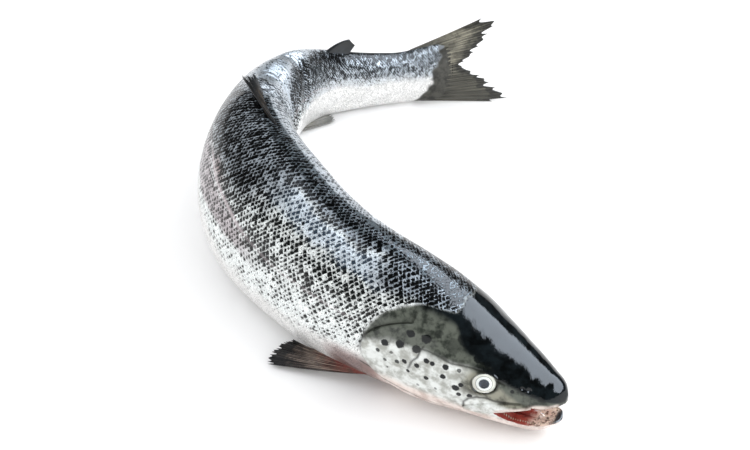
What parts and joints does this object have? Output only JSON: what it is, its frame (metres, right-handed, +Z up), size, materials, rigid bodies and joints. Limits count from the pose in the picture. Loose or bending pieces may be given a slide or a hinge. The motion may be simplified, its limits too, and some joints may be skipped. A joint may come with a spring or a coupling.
{
  "type": "whole atlantic salmon",
  "caption": "Whole raw salmon lying on its belly, body bent in a C, mouth ajar, fins folded or spread on the table.",
  "frame": {"origin": "on the table, under the middle of the fish's bounding box", "axes": "+Z up from the table through the back; the head points to -Y and +X and the tail to +X at the +Y end"},
  "size_m": [0.3016, 0.4708, 0.1522],
  "materials": {
    "skin": "wet scaled fish skin, blue-black back, silver flank, white belly",
    "fin": "thin wet fin membrane with dark rays",
    "mouth": "wet red to pink mouth lining",
    "tooth": "small glossy ivory teeth",
    "eye": "pale iris with a dark pupil",
    "cornea": "clear wet cornea"
  },
  "bodies": {
    "root": {"salmon": "skin", "eye_right": "eye", "eye_left": "eye"}
  },
  "joints": []
}
